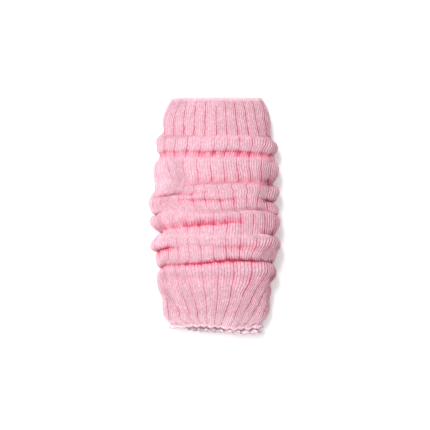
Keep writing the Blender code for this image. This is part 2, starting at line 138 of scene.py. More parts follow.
def sectionAt(sections, down):
    # Reach left and right, flat width, corner radius, crown, turn of the ribs and lift at each
    # height. The radius is half of what the crown leaves of the thickness.
    places, *columns = zip(*sections)
    left, right, thick, turn, lift = (curveThrough(places, column, down) for column in columns)
    crown = thick * tube["crown"]
    radius = (thick - crown) / 2
    return left, right, left + right - 2 * radius, radius, crown, turn, lift


def aroundSection(sections, down, share, sway=0.0):
    # Two half circles joined by a flat underside and a crowned front, walked from the left fold
    # over the front. Gives each point and its outward direction.
    left, right, flat, radius, crown, turn, lift = sectionAt(sections, down)
    quarter = math.pi * radius / 2
    length = 2 * flat + 4 * quarter
    travel = np.mod(share * length + turn * np.sin(math.pi * share)**2 + sway, length)
    cornerLeft = -left + radius
    cornerRight = right - radius
    onFront = (travel >= quarter) & (travel < quarter + flat)
    onRight = (travel >= quarter + flat) & (travel < 3 * quarter + flat)
    onBack = (travel >= 3 * quarter + flat) & (travel < 3 * quarter + 2 * flat)
    frontRun = travel - quarter
    backRun = travel - 3 * quarter - flat
    rightAngle = (travel - quarter - flat) / radius
    leftAngle = np.where(travel < quarter, travel, travel - length) / radius
    zones = [onFront, onRight, onBack]
    rightX = cornerRight + radius * np.sin(rightAngle)
    leftX = cornerLeft - radius * np.cos(leftAngle)
    x = np.select(zones, [cornerLeft + frontRun, rightX, cornerRight - backRun], leftX)
    frontZ = 2 * radius + crown * np.sin(math.pi * np.clip(frontRun / flat, 0, 1))
    rightZ = radius + radius * np.cos(rightAngle)
    leftZ = radius + radius * np.sin(leftAngle)
    z = np.select(zones, [frontZ, rightZ, np.zeros_like(travel)], leftZ)
    outX = np.select(zones, [0.0, np.sin(rightAngle), 0.0], -np.cos(leftAngle))
    outZ = np.select(zones, [1.0, np.cos(rightAngle), -1.0], np.sin(leftAngle))
    return x, lift + z, outX, outZ


def underside(share):
    # 1 on the back where it is pressed flat, 0 on the front and folds, smooth between.
    place = np.mod(share, 1.0)
    inward = np.minimum(place - 0.5, 1.0 - place)
    return smoothStep(inward, tube["foldShare"], 2 * tube["foldShare"])


def columnCounts(sock):
    # Mesh columns of each rib. The ribs under the tube have fewer than those that show.
    under = range(*tube["underRibs"])
    return [sock["columnsUnder" if rib in under else "columnsInRib"] for rib in range(tube["ribs"])]


def ribColumns(sock):
    # Place of every mesh column round the tube, in ribs from the left fold.
    return np.concatenate([rib + np.arange(count) / count for rib, count in enumerate(columnCounts(sock))])


def ribProfile(place, grooveWidth):
    # Height of a rib across its width: a smooth step out of the groove, and a low half sine.
    phase = np.mod(place, 1.0)
    fromGroove = np.minimum(phase, 1 - phase)
    crown = tube["ribCrown"]
    return (1 - crown) * smoothStep(fromGroove, 0.0, grooveWidth) + crown * np.sin(math.pi * phase)


def waleProfile(place):
    # Rounded ridge of each knit wale: a half sine across it, made a little broader.
    return np.sin(math.pi * np.mod(place * tube["walesInRib"], 1.0))**tube["waleShape"]


def hemScallops(place, seed):
    # How far each rib pushes the hem down: a half sine across it, made broader, of uneven size.
    lobe = np.sin(math.pi * np.mod(place, 1.0))**tube["scallopShape"]
    change, across = tube["scallopChange"]
    return tube["hemScallop"] * lobe * (1 + change * softNoise(across * np.floor(place), 0.0, seed))


def gridNormals(points):
    # Outward directions of a grid whose rows run down the leg and columns round it: the cross
    # product of the steps between neighbours.
    along = np.gradient(points, axis=0)
    across = np.roll(points, -1, axis=1) - np.roll(points, 1, axis=1)
    normals = np.cross(along, across)
    normals[[0, -1], :, 1] = 0.0
    return normals / np.linalg.norm(normals, axis=2, keepdims=True)


def pressFlat(points, floor):
    # Sets what lies just above or below a floor level on it.
    low = points[..., 2] < floor + tube["pressedHeight"]
    points[..., 2] = np.where(low, floor, points[..., 2])
    return points


# Four ways a crease is folded. Each row is a step along the leg, as a share of the crease's
# reach above or below its bottom, a height as a share of its depth, how strongly the row is
# squeezed, and how much painted shade it gets. Stepped: the roll above ends in a step and the
# cloth then rises to the sharp edge of the roll below. Tucked: the roll above slopes under that
# edge. Even: a soft valley. Hung: the roll above hangs over the crease.
creaseShapes = {
    "stepped": (
        (-1.0, -0.05, 0.0, -0.8),
        (-0.82, -0.85, 0.3, 1.5),
        (-0.60, -1.05, 0.4, 1.0),
        (-0.20, -0.88, 0.4, 0.6),
        (0.30, -0.64, 0.3, 0.15),
        (0.65, -0.40, 0.2, -0.1),
        (1.0, 0.04, 0.0, 0.0),
    ),
    "tucked": (
        (-1.0, -0.12, 0.0, 0.1),
        (-0.78, -0.50, 0.1, 0.4),
        (-0.45, -0.85, 0.3, 0.7),
        (-0.10, -1.12, 0.7, 1.0),
        (0.30, -1.10, 1.0, 1.1),
        (0.65, -0.60, 0.5, 0.2),
        (1.0, 0.04, 0.0, 0.0),
    ),
    "even": (
        (-1.0, -0.15, 0.0, 0.1),
        (-0.65, -0.55, 0.3, 0.5),
        (-0.25, -1.05, 0.8, 1.0),
        (0.0, -1.15, 1.0, 1.2),
        (0.25, -1.05, 0.8, 1.0),
        (0.65, -0.55, 0.3, 0.5),
        (1.0, -0.05, 0.0, 0.1),
    ),
    "hung": (
        (-1.0, 0.02, 0.0, 0.0),
        (-0.60, -0.05, 0.0, 0.0),
        (-0.22, -0.50, 0.3, 0.9),
        (-0.02, -1.12, 1.0, 1.2),
        (0.30, -1.12, 0.9, 1.2),
        (0.65, -0.62, 0.4, 0.3),
        (1.0, -0.12, 0.1, 0.0),
    ),
}
bottomRow = 3  # the row of each shape that lies at the crease's bottom

outerSock = {
    "relief": 1.1,             # height of the ribs
    "fade": (-0.75, -0.25),    # upward part of the outward direction where ribs begin, and are whole
    "edging": (1.6, 3.8),      # heights between which the plain edging turns into ribs
    "grooveWidth": 0.06,       # half the groove between two ribs, as a share of a rib
    "grooveCut": 0.7,          # share of a rib's height that a clear groove cuts
    "grooveChange": 0.35,      # how much one groove's depth differs from the next
    "grooveNoise": (7.7, 8.0, 4),  # steps in a rib, mm a step along, seed
    "grooveLimits": (0.05, 1.5),  # least and greatest depth, as a share of an even one
    "keptInFolds": 0.2,        # share of a groove's depth that is left where a fold hides the ribs
    "waleHeight": (0.36, 0.64),  # on the front, and more at the right
    "waleClarity": (0.7, 2.2),  # the same for the painted shade between wales
    # How the front turns to the right fold: amounts, and the x where each starts and is whole.
    "turning": ((0.4, -20.0, 40.0), (0.6, 38.0, 56.0)),
    "strokeWidth": 0.20,       # half the painted dark stroke at a groove in a fold, as a share of a rib
    "waleStrokes": 0.45,       # strength of the finer painted strokes between wales
    "foldShade": 0.58,         # share of a fold's painted shade that lies between the strokes
    "shadeChange": 0.4,        # how uneven the painted shade is
    "shadeNoise": (5.3, 6.0, 9),  # steps in a rib, mm a step along, seed
    "squeeze": 0.9,            # share of a rib's height that a deep crease takes
    "squeezeDepth": 4.0,       # how deep such a crease is
    "leastDepth": 0.1,         # no crease is shallower
    "edgeNotch": 0.4,          # how far the line of a crease dips at each groove
    "notchWidth": 0.12,        # half the width of that dip, as a share of a rib
    "notchRows": 0.9,          # rows of a crease nearer its bottom than this share of its reach dip
    "edgeWander": 0.6,         # how far the line strays
    "wanderNoise": (1.3, 20),  # steps in each rib, and the first crease's seed
    "rowStep": 1.2,            # distance between rows of the mesh along the cloth
    "stepsBetweenRows": 8,     # steps between two listed rows when that distance is measured
    "columnsInRib": 20,
    "columnsUnder": 8,
    # down from the top edge, reach left and right, thickness, turn of the ribs, lift
    "sections": (
        (0.0, 43.6, 47.6, 12.6, -1.7, 0.0),
        (9.0, 48.6, 52.8, 13.4, -1.0, 0.0),
        (21.0, 52.4, 55.8, 14.6, 0.0, 0.0),
        (35.0, 53.2, 57.1, 16.2, 0.0, 0.0),
        (40.0, 58.4, 58.7, 17.8, -1.0, 0.0),
        (48.0, 58.6, 63.5, 19.8, -2.0, 0.0),
        (57.0, 59.5, 61.9, 21.0, -3.0, 0.0),
        (73.0, 61.6, 64.8, 22.0, -4.5, 0.0),
        (85.0, 60.5, 62.1, 22.5, -5.5, 0.0),
        (93.0, 61.0, 65.3, 22.5, -6.0, 0.0),
        (97.5, 64.1, 63.5, 22.5, -6.0, 0.0),
        (103.0, 66.7, 62.1, 22.5, -6.0, 0.0),
        (112.0, 64.2, 64.7, 22.5, -5.5, 0.0),
        (123.0, 65.8, 66.0, 22.5, -5.0, 0.0),
        (136.0, 58.5, 63.6, 22.5, -4.0, 0.0),
        (147.0, 65.1, 66.1, 22.5, -3.0, 0.0),
        (156.0, 60.7, 62.2, 22.5, -2.0, 0.0),
        (164.0, 58.6, 60.1, 22.0, 0.0, 0.0),
        (172.0, 57.7, 62.8, 21.0, 1.0, 0.0),
        (181.0, 58.9, 61.6, 18.5, 2.0, 0.0),
        (189.0, 57.2, 58.3, 17.0, 2.5, 0.0),
        (199.0, 53.2, 55.7, 15.0, 2.0, 0.0),
        (211.0, 52.8, 55.3, 13.6, 1.0, 0.0),
        (218.0, 50.6, 52.5, 12.8, 0.0, 0.0),
        (224.5, 44.1, 46.5, 12.0, -1.5, 0.0),
        (229.0, 51.5, 54.5, 11.6, -2.0, 0.0),
    ),
    # Each crease at eight or sixteen stations. Reach is how far its slopes run above and below its
    # bottom. Lean is how far the roll below hangs over the crease, as a share of its depth, or
    # where it is below zero the roll above. Shade is how much painted shade the fold gets: a deeper,
    # redder pink where little light reaches it.
    "creases": {
        "cuff": {
            "shape": "even",
            "reach": (12.0, 3.6),
            "lean": 0.0,
            "down": (37.2, 37.0, 39.0, 40.6, 41.6, 42.0, 44.0, 40.0),
            "depth": (0.3, 0.5, 0.6, 0.8, 1.4, 1.5, 1.5, 1.0),
            "shade": (0.1, 0.1, 0.08, 0.05, 0.1, 0.0, 0.0, 0.0),
        },
        "first roll": {
            "shape": "stepped",
            "reach": (9.0, 4.2),
            "lean": 0.08,
            "down": (60.6, 59.1, 59.3, 59.5, 62.4, 60.0, 63.0, 62.0),
            "depth": (4.0, 2.8, 3.6, 3.6, 2.3, 1.5, 1.5, 1.5),
            "shade": (0.3, 0.5, 0.9, 1.0, 0.75, 0.3, 0.3, 0.3),
        },
        "second roll": {
            "shape": "tucked",
            "reach": (6.5, 4.4),
            "lean": 0.08,
            "down": (89.8, 88.0, 86.6, 85.0, 84.0, 83.6, 83.6, 84.0,
                     86.0, 87.0, 87.0, 88.0, 89.0, 89.5, 89.5, 89.5),
            "depth": (0.1, 0.1, 0.3, 0.8, 1.3, 1.4, 1.4, 2.4,
                      6.4, 1.5, 1.5, 1.5, 1.5, 1.2, 0.8, 0.3),
            "shade": (0.0, 0.0, 0.02, 0.35, 0.5, 0.5, 0.5, 0.6,
                      0.7, 0.3, 0.3, 0.3, 0.3, 0.2, 0.2, 0.1),
        },
        "third roll": {
            "shape": "even",
            "reach": (3.6, 2.6),
            "lean": 0.0,
            "down": (100.0, 97.4, 96.2, 95.6, 94.6, 94.5, 94.5, 94.6,
                     95.0, 98.0, 98.0, 98.0, 98.0, 98.0, 98.0, 99.0),
            "depth": (0.1, 1.6, 2.0, 1.4, 0.4, 0.1, 0.1, 0.1,
                      0.1, 0.1, 0.1, 0.1, 0.1, 0.1, 0.1, 0.1),
            "shade": (0.1, 0.7, 0.6, 0.5, 0.1, 0.0, 0.0, 0.0,
                      0.0, 0.0, 0.0, 0.0, 0.0, 0.0, 0.0, 0.0),
        },
        "third roll fold": {
            "shape": "even",
            "reach": (3.0, 4.0),
            "lean": 0.0,
            "down": (106.5, 104.0, 102.6, 101.2, 100.8, 100.6, 100.0, 100.0,
                     102.6, 104.5, 104.5, 104.5, 104.5, 104.5, 104.5, 105.5),
            "depth": (0.1, 0.1, 0.4, 1.4, 1.8, 1.4, 0.4, 0.8,
                      5.4, 1.5, 1.5, 1.5, 1.5, 1.5, 1.2, 0.8),
            "shade": (0.0, 0.1, 0.2, 0.5, 0.7, 0.6, 0.1, 0.2,
                      0.7, 0.3, 0.3, 0.3, 0.3, 0.3, 0.3, 0.3),
        },
        "third roll foot": {
            "shape": "tucked",
            "reach": (3.6, 3.2),
            "lean": 0.15,
            "down": (116.7, 114.6, 114.0, 113.6, 113.0, 112.2, 111.2, 110.8,
                     116.4, 119.0, 119.0, 120.0, 120.0, 119.0, 118.0, 117.0),
            "depth": (4.4, 1.2, 0.4, 0.7, 1.2, 1.2, 1.5, 2.4,
                      3.6, 1.5, 1.5, 1.5, 1.5, 1.5, 1.5, 1.5),
            "shade": (0.6, 0.1, 0.0, 0.08, 0.2, 0.15, 0.2, 0.4,
                      0.5, 0.3, 0.3, 0.3, 0.3, 0.3, 0.3, 0.3),
        },
        "fourth roll": {
            "shape": "tucked",
            "reach": (6.4, 3.6),
            "lean": 0.05,
            "down": (135.0, 130.4, 128.6, 126.8, 125.2, 123.6, 125.6, 136.4,
                     137.5, 137.0, 136.0, 136.0, 136.0, 136.0, 135.0, 135.0),
            "depth": (4.6, 2.2, 2.4, 2.6, 2.8, 2.0, 0.2, 2.0,
                      4.2, 1.5, 1.5, 1.5, 1.5, 1.5, 1.5, 1.5),
            "shade": (0.6, 0.7, 0.9, 1.4, 1.5, 1.1, 0.05, 0.6,
                      0.6, 0.3, 0.3, 0.3, 0.3, 0.3, 0.3, 0.3),
        },
        "flap": {
            "shape": "hung",
            "reach": (6.0, 6.0),
            "lean": -0.40,
            "down": (151.0, 148.4, 147.4, 147.0, 147.0, 147.0, 147.6, 148.6,
                     149.6, 151.0, 152.0, 152.0, 152.5, 152.5, 152.5, 152.5),
            "depth": (3.6, 3.2, 0.6, 0.7, 0.8, 1.1, 0.9, 0.4,
                      0.1, 0.4, 0.6, 1.2, 1.5, 1.5, 1.5, 1.5),
            "shade": (1.0, 1.3, 0.1, 0.08, 0.15, 0.5, 0.4, 0.1,
                      0.0, 0.2, 0.3, 0.3, 0.3, 0.3, 0.3, 0.3),
        },
        "fifth roll": {
            "shape": "hung",
            "reach": (5.0, 5.5),
            "lean": -0.05,
            "down": (168.0, 165.6, 164.8, 163.6, 161.8, 160.4, 160.4, 161.6,
                     164.9, 166.0, 167.0, 168.0, 169.5, 170.0, 170.0, 170.0),
            "depth": (3.2, 1.8, 1.8, 2.4, 2.8, 2.8, 2.8, 3.6,
                      5.5, 1.5, 1.5, 1.5, 1.5, 1.5, 1.5, 1.5),
            "shade": (0.8, 0.8, 0.9, 1.4, 1.9, 1.8, 1.4, 1.0,
                      0.8, 0.3, 0.3, 0.3, 0.3, 0.3, 0.3, 0.3),
        },
        "sixth roll": {
            "shape": "even",
            "reach": (7.0, 7.0),
            "lean": 0.0,
            "down": (180.5, 178.6, 178.0, 178.0, 178.0, 178.4, 179.4, 181.4,
                     184.4, 185.0, 185.0, 185.0, 184.0, 183.0, 182.0, 181.0),
            "depth": (0.3, 0.6, 0.7, 0.7, 0.7, 0.7, 0.9, 2.2,
                      3.6, 1.5, 1.5, 1.5, 1.4, 1.2, 0.8, 0.4),
            "shade": (0.0, 0.1, 0.12, 0.12, 0.12, 0.12, 0.12, 0.3,
                      0.4, 0.3, 0.3, 0.3, 0.3, 0.2, 0.2, 0.1),
        },
    },
    # Rows above the first crease and below the last one: how far down, and their height.
    "head": ((-1.2, 0.0), (2.5, 0.0), (14.0, 0.0), (25.0, 0.0)),
    "tail": ((196.0, 0.1), (203.0, -0.5), (212.0, 0.2), (219.0, -0.2),
             (223.5, 0.0), (225.4, 0.5), (226.6, 0.3)),
    "hemDrop": (1.5, 0.0, 0.6, 3.2, 2.0, 0.6, 0.0, 0.6),  # hem below pushedLength, at 8 stations
    "scallopSeed": 31,
    # A strength, and where it starts and is whole. The first is read down from the top edge and the
    # others from the hem, above which heights are below zero.
    "paleTop": (0.5, 2.0, 0.4),
    "paleHem": (0.35, -14.0, -4.0),
    # Painted groove shade, stronger near the hem.
    "hemGrooves": (0.8, -6.5, -3.0),
    "hemRim": (1.0, -2.4, -1.2),
}

# Where the grooves from the left fold onward lie on the front: a height down from the top edge,
# then each groove's place right of the middle. They lean and crowd together in the folds.
grooveLines = {
    "fadesOver": 3,            # ribs past the first and last line over which the lean dies away
    "rows": (
        (3.5, -42.0, -34.6, -27.9, -18.3, -8.8, 1.2, 10.2, 19.2, 28.2, 37.7, 47.0),
        (20.0, -49.8, -40.6, -30.6, -20.2, -9.5, 1.4, 11.2, 21.2, 31.2, 40.6, 49.8),
        (33.0, -50.8, -41.1, -31.0, -21.0, -9.9, 1.8, 11.9, 22.6, 33.4, 43.4, 52.2),
        (37.0, -51.0, -41.2, -31.2, -21.2, -10.1, 1.8, 12.0, 22.9, 33.9, 44.0, 52.8),
        (40.0, -57.0, -49.4, -38.0, -26.2, -13.0, 0.1, 13.1, 25.2, 37.6, 52.2, 62.0),
        (50.5, -58.0, -50.8, -40.4, -28.0, -14.6, -1.2, 11.2, 23.8, 36.0, 47.6, 60.8),
        (58.4, -57.0, -48.2, -40.2, -29.2, -16.3, -2.2, 9.3, 22.2, 34.0, 45.6, 54.4),
        (61.8, -58.0, -47.0, -38.4, -31.4, -17.8, -4.7, 8.3, 21.3, 33.8, 46.8, 57.6),
        (70.3, -59.0, -45.8, -37.8, -31.4, -17.4, -4.0, 9.0, 22.0, 34.2, 45.6, 55.6),
        (82.2, -56.0, -41.0, -34.4, -28.2, -16.2, -2.8, 10.2, 24.2, 35.8, 46.2, 53.2),
        (87.2, -57.0, -44.0, -37.0, -30.0, -21.0, -10.6, 1.4, 15.8, 30.8, 44.6, 52.8),
        (95.2, -60.0, -49.0, -42.0, -35.0, -23.2, -10.2, 3.8, 18.0, 31.8, 43.6, 52.2),
        (102.2, -62.0, -53.8, -46.8, -36.2, -21.0, -8.8, 5.8, 19.6, 32.2, 42.6, 52.2),
        (110.2, -60.0, -52.0, -41.8, -29.8, -19.0, -6.4, 7.2, 19.8, 31.8, 42.6, 52.4),
        (115.4, -60.0, -53.4, -42.0, -29.6, -14.8, -0.8, 12.8, 25.6, 38.2, 49.6, 61.0),
        (123.8, -60.0, -53.2, -41.4, -28.2, -13.8, -0.8, 13.2, 26.2, 38.6, 50.0, 61.2),
        (135.6, -55.6, -46.6, -37.3, -26.8, -15.7, -1.8, 11.1, 26.0, 37.4, 49.4, 59.2),
        (139.4, -58.0, -47.0, -37.4, -27.0, -16.8, -2.6, 11.0, 25.6, 42.0, 58.0, 65.0),
        (147.0, -60.0, -46.0, -36.4, -25.8, -13.8, -1.2, 11.2, 25.2, 41.2, 54.8, 64.0),
        (159.6, -55.0, -45.6, -35.0, -24.4, -13.0, -0.4, 12.0, 24.6, 35.6, 45.0, 53.0),
        (163.6, -54.2, -49.8, -39.8, -29.6, -13.6, 3.0, 18.6, 36.6, 52.6, 60.0, 62.4),
        (172.0, -54.2, -48.8, -38.8, -28.6, -13.0, 3.8, 19.2, 37.0, 52.6, 60.0, 62.0),
        (184.5, -54.8, -47.4, -36.0, -24.8, -10.8, 3.2, 17.6, 34.2, 45.0, 54.2, 57.0),
        (194.0, -51.2, -45.8, -33.2, -22.8, -9.8, 3.2, 16.2, 28.8, 39.2, 48.8, 55.6),
        (204.0, -47.6, -40.2, -28.8, -19.4, -8.4, 2.2, 14.2, 25.4, 35.2, 44.6, 53.6),
        (213.0, -46.0, -35.4, -25.4, -16.8, -8.2, 1.2, 10.8, 21.2, 29.2, 38.6, 49.6),
        (222.0, -42.2, -31.4, -23.0, -15.6, -8.0, 0.2, 7.4, 17.6, 25.2, 33.0, 42.6),
        (229.0, -36.8, -29.0, -22.0, -15.0, -7.8, -0.2, 6.8, 16.6, 24.2, 31.2, 38.2),
    ),
}

# How clear the grooves are, in depth and in painted shade: a height down from the top edge,
# then the strength at the left, middle and right, stronger at the right, away from the light.
# Grooves and wales are lost at the folds, as far above and below as "hidden" says.
grooveClarity = {
    "reach": 50.0,             # distance from the middle at which the left and right values hold
    "rows": (
        (0.0, 1.0, 1.05, 1.25),
        (36.0, 1.0, 1.05, 1.25),
        (45.0, 0.75, 0.65, 0.9),
        (60.0, 0.6, 0.6, 0.9),
        (75.0, 0.5, 0.6, 0.9),
        (100.0, 0.35, 0.5, 0.85),
        (125.0, 0.3, 0.45, 0.8),
        (140.0, 0.35, 0.45, 0.8),
        (150.0, 0.6, 0.6, 0.8),
        (160.0, 0.55, 0.6, 0.8),
        (168.0, 0.2, 0.25, 0.5),
        (182.0, 0.25, 0.4, 1.0),
        (195.0, 0.5, 0.75, 1.4),
        (208.0, 0.8, 1.0, 1.5),
        (226.0, 0.9, 1.0, 1.3),
    ),
    "folds": (38.6, 60.2, 84.6, 112.8, 137.4),
    "hidden": 1.9,
}


def ribSway(sections, down, place):
    # How far the ribs lean from their even places, so that the grooves follow their lines: each
    # line's distance along the section, less the distance of the groove's even place.
    heights, *lines = zip(*grooveLines["rows"])
    heights = np.array(heights)
    left, right, flat, radius, _, turn, _ = sectionAt(sections, heights)
    quarter = math.pi * radius / 2
    length = 2 * flat + 4 * quarter
    fade = grooveLines["fadesOver"]
    table = np.zeros((len(heights), tube["ribs"]))
    for groove, line in enumerate(lines):
        x = np.array(line)
        onLeft = np.arccos(np.clip((radius - left - x) / radius, -1, 1)) * radius
        onRight = quarter + flat + np.arcsin(np.clip((x - right + radius) / radius, -1, 1)) * radius
        onFront = quarter + x + left - radius
        travel = np.where(x < radius - left, onLeft, np.where(x > right - radius, onRight, onFront))
        share = (groove + tube["firstRib"]) / tube["ribs"]
        table[:, groove] = travel - share * length - turn * np.sin(math.pi * share)**2
    last = len(lines) - 1
    for step in range(1, fade):
        rest = 1 - step / fade
        table[:, last + step] = table[:, last] * rest
        table[:, -step] = table[:, 0] * rest
    perRow = np.stack([np.interp(down, heights, column) for column in table.T], axis=-1)
    near = np.floor(place).astype(int)
    row, column = np.ogrid[:down.shape[0], :down.shape[1]]
    neighbours = (perRow[row, column, (near + step) % tube["ribs"]] for step in (-1, 0, 1, 2))
    return cubicBetween(*neighbours, place - near)


def grooveStrength(x, down):
    # The table's middle value, which turns into its left or right value away from the middle.
    heights, *columns = zip(*grooveClarity["rows"])
    left, middle, right = (np.interp(down, heights, column) for column in columns)
    atLeft, atRight = (smoothStep(side * x, 0.0, grooveClarity["reach"]) for side in (-1, 1))
    return middle + (left - middle) * atLeft + (right - middle) * atRight


def outsideFolds(down):
    # 0 at the folds that hide the ribs, 1 away from them.
    hidden = sum(np.exp(-((down - fold) / grooveClarity["hidden"])**2) for fold in grooveClarity["folds"])
    return 1 - np.minimum(hidden, 1)


def foldRows(sock, place, at):
    # Place down the leg, height, squeeze and shade of every row, crease by crease. "at" lists the
    # row numbers to read, between the listed rows too.
    share = (place + tube["firstRib"]) / tube["ribs"]
    groove = 1 - ribProfile(place, sock["notchWidth"])
    across, firstSeed = sock["wanderNoise"]
    rows = [(down, height, 0.0, 0.0) for down, height in sock["head"]]
    for number, crease in enumerate(sock["creases"].values()):
        stray = softNoise(across * place, 0.0, firstSeed + number)
        wander = sock["edgeWander"] * stray * (1 - underside(share))
        notch = sock["edgeNotch"] * groove * (1 - underside(share))
        centre = roundTheTube(crease["down"], share) + wander
        depth = np.maximum(roundTheTube(crease["depth"], share), sock["leastDepth"])
        depth = depth + (np.minimum(depth, tube["undersideDepth"]) - depth) * underside(share)
        squeeze = sock["squeeze"] * np.clip(depth / sock["squeezeDepth"], 0, 1)
        shade = roundTheTube(crease["shade"], share)
        above, below = crease["reach"]
        for row, (step, part, squeezed, shaded) in enumerate(creaseShapes[crease["shape"]]):
            lean = crease["lean"] if crease["lean"] * (row - bottomRow) > 0 else 0.0
            dip = notch if abs(step) < sock["notchRows"] else 0.0
            reach = above if step < 0 else below
            rows.append((centre + step * reach - lean * depth * (1 + part) + dip, part * depth,
                         squeezed * squeeze, shaded * shade))
    rows += [(down, height, 0.0, 0.0) for down, height in sock["tail"]]
    filled = np.array([[np.broadcast_to(value, share.shape) for value in row] for row in rows])
    down, height, squeeze, shade = (splineThrough(filled[:, part], at) for part in range(4))
    return down, height, np.clip(squeeze, 0, sock["squeeze"]), np.maximum(shade, 0)


def evenRows(sock, place):
    # Row numbers spaced so that the mesh rows lie about rowStep apart along the cloth.
    shapes = [creaseShapes[crease["shape"]] for crease in sock["creases"].values()]
    lastRow = len(sock["head"]) + len(sock["tail"]) + sum(len(shape) for shape in shapes) - 1
    fine = np.linspace(0, lastRow, lastRow * sock["stepsBetweenRows"] + 1)
    down, height, *_ = foldRows(sock, place, fine)
    steps = np.hypot(np.diff(down, axis=0), np.diff(height, axis=0)).max(axis=1)
    travelled = np.concatenate([[0], np.cumsum(steps)])
    count = int(travelled[-1] / sock["rowStep"])
    return np.interp(np.linspace(0, travelled[-1], count), travelled, fine)


def outerSockPoints(sock):
    # The middle of the wall is the section's outline, moved in by the depth of the folds. The outer
    # points stand out from it by half the wall and the ribs, which folds squeeze and grooves cut.
    # Also gives what the material reads at each outer point.
    place = ribColumns(sock)
    down, height, squeeze, shade = foldRows(sock, place, evenRows(sock, place))
    share = np.broadcast_to((place + tube["firstRib"]) / tube["ribs"], down.shape)
    sway = ribSway(sock["sections"], down, place)
    x, z, outX, outZ = aroundSection(sock["sections"], down, share, sway)
    shown = facing(outZ, sock["fade"])
    relief = sock["relief"] * shown
    off = height - relief - tube["wall"] / 2
    middle = np.stack([x + outX * off, tube["topEdge"] - down, z + outZ * off], axis=2)
    belowHem = down - tube["pushedLength"]
    atHem = np.clip(belowHem / tube["hemZone"] + 1, 0, 1)
    hem = hemScallops(place, sock["scallopSeed"]) + roundTheTube(sock["hemDrop"], share)
    middle[..., 1] -= atHem * hem
    normals = gridNormals(middle)

    # The rise of the ribs, less what folds, grooves and wales take from it.
    ribbed = smoothStep(down, *sock["edging"]) * shown
    clear = outsideFolds(down)
    tightness = grooveStrength(x, down) * (sock["keptInFolds"] + (1 - sock["keptInFolds"]) * clear)
    across, along, seed = sock["grooveNoise"]
    uneven = 1 + sock["grooveChange"] * softNoise(across * np.round(place), down / along, seed)
    grooveDepth = np.clip(tightness * uneven, *sock["grooveLimits"])
    groove = (1 - ribProfile(place, sock["grooveWidth"])) * ribbed * grooveDepth
    turning = sum(ramp(x, *turn) for turn in sock["turning"])
    onFront, moreAtRight = sock["waleHeight"]
    waleHeight = (onFront + moreAtRight * turning) * clear
    betweenWales = 1 - waleProfile(place)
    rise = relief * (1 - sock["grooveCut"] * groove) * (1 - squeeze) - waleHeight * betweenWales * ribbed
    outer = middle + normals * (tube["wall"] / 2 + rise)[..., None]
    inner = middle - normals * (tube["wall"] / 2)

    # What the material reads: painted shade in the grooves, in the folds and between wales, and pale edges.
    grooveStrokes = (1 - ribProfile(place, sock["strokeWidth"])) * tightness
    strokes = (grooveStrokes + sock["waleStrokes"] * betweenWales) * ribbed
    across, along, seed = sock["shadeNoise"]
    patchy = 1 + sock["shadeChange"] * softNoise(across * place, down / along, seed)
    rim = ramp(belowHem, *sock["hemRim"])
    pale = ramp(down, *sock["paleTop"]) + ramp(belowHem, *sock["paleHem"])
    onFront, moreAtRight = sock["waleClarity"]
    readings = {
        # Painted shade in the grooves, stronger near the hem.
        "groove": groove * (1 + ramp(belowHem, *sock["hemGrooves"])) * (1 - rim),
        # Painted shade of the folds, with darker painted strokes at the grooves and between wales.
        "crease": (sock["foldShade"] * shade + np.sqrt(shade) * strokes) * patchy,
        "rim": np.maximum(rim, pale * shown),
        # Painted shade between wales, stronger at the right fold.
        "wales": (onFront + moreAtRight * turning) * ribbed * clear,
    }
    return pressFlat(outer, 0.0), pressFlat(inner, tube["wall"]), place, readings


innerSock = {
    "relief": 0.8,
    "fade": (0.3, 0.8),
    "grooveWidth": 0.10,
    "waleHeight": 0.35,
    "topDrop": 3.5,            # how far its top edge lies below the outer sock's
    "hemDrop": (1.5, 4.4, 5.4, 7.0, 6.6, 5.8, 5.8, 3.8),
    "scallopShift": 0.3,       # how far its scallops lie beside the outer sock's, as a share of a rib
    "scallopSeed": 32,
    "hemRim": (-3.6, -2.4),    # heights from the hem between which the pale edge starts
    "hemShade": (0.93, 0.97),  # share of the length between which painted shade under the outer sock's hem starts
    "rows": 150,
    "waves": 9,                # waves of its front under the rolls
    "wave": 0.3,               # and their height
    "columnsInRib": 16,
    "columnsUnder": 4,
    "sections": (
        (0.0, 38.4, 43.0, 6.0, 0.0, 2.2),
        (12.0, 44.0, 48.0, 6.2, 0.0, 2.2),
        (30.0, 45.8, 49.4, 5.8, 0.0, 3.7),
        (50.0, 45.6, 48.8, 5.8, 0.0, 3.8),
        (85.0, 45.4, 44.6, 5.8, -1.0, 3.8),
        (110.0, 44.6, 46.0, 5.8, -1.0, 3.8),
        (135.0, 43.0, 46.4, 5.8, -1.0, 3.8),
        (165.0, 45.0, 45.4, 5.8, 0.0, 3.8),
        (193.0, 46.8, 46.6, 5.8, 0.0, 3.8),
        (205.0, 46.4, 49.6, 6.2, 0.0, 2.2),
        (215.0, 44.0, 47.0, 6.0, 0.0, 2.2),
        (222.0, 38.4, 41.8, 5.8, 0.0, 2.2),
        (230.3, 37.8, 41.2, 5.8, 0.0, 2.2),
        (232.0, 42.4, 45.0, 8.6, 0.0, 2.0),
        (234.0, 46.8, 48.6, 10.6, 0.0, 1.2),
    ),
}


